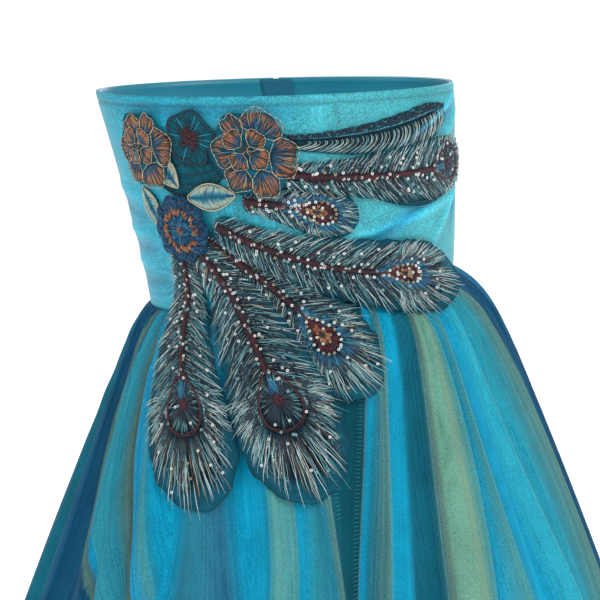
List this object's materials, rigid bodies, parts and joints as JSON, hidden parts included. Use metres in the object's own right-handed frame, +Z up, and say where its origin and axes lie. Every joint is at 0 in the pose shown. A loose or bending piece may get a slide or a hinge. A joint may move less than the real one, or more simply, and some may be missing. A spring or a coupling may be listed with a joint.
{
  "type": "strapless mini dress, as worn",
  "caption": "Strapless mini dress in worn form: fitted satin bodice under net, full layered net skirt over a lining, and an embroidered feather and flower spray on the front.",
  "frame": {"origin": "centre of the waistline, where the wearer's waist holds the dress up", "axes": "+Z up, the wearer faces -Y, +X to the wearer's left"},
  "size_m": [0.6373, 0.5646, 0.6203],
  "materials": {
    "satin": "woven satin, soft sheen",
    "aqua_net": "fine net",
    "sage_net": "fine net",
    "blue_net": "fine net",
    "turquoise_net": "fine net",
    "lining_cloth": "plain woven",
    "motif_net": "net with metallic embroidery and sequins",
    "blossom_thread": "satin stitch",
    "leaf_thread": "satin stitch",
    "zip_cloth": "woven tape",
    "zip_metal": "plated, lightly polished"
  },
  "bodies": {
    "dress": {"bodice_front": "satin", "bodice_back_left": "satin", "bodice_back_right": "satin", "bodice_net_front": "aqua_net", "bodice_net_back_left": "aqua_net", "bodice_net_back_right": "aqua_net", "skirt_net_front": "sage_net", "skirt_net_back_left": "blue_net", "skirt_net_back_right": "blue_net", "skirt_inner_net_front": "turquoise_net", "skirt_inner_net_back_left": "turquoise_net", "skirt_inner_net_back_right": "turquoise_net", "skirt_lining_front_left": "lining_cloth", "skirt_lining_front_right": "lining_cloth", "skirt_lining_back_left": "lining_cloth", "skirt_lining_back_right": "lining_cloth", "zip_tape": "zip_cloth", "zip_chain": "zip_cloth", "zip_slider": "zip_metal", "feather_1": "motif_net", "feather_2": "motif_net", "feather_3": "motif_net", "feather_4": "motif_net", "feather_5": "motif_net", "feather_6": "motif_net", "feather_7": "motif_net", "leaf_net": "motif_net", "leaf_net_left": "motif_net", "blossom_dark": "motif_net", "rosette": "motif_net", "blossom_left": "blossom_thread", "blossom_right": "blossom_thread", "leaf_1": "leaf_thread", "leaf_2": "leaf_thread", "leaf_3": "leaf_thread"},
    "pull": {"zip_pull": "zip_metal"}
  },
  "joints": [
    {"name": "zip_pull_swing", "type": "hinge", "parent": "dress", "child": "pull", "pos_m": [-0.02019, 0.09232, 0.15272], "axis": [1, 0, 0], "range_deg": [0, 150]}
  ]
}
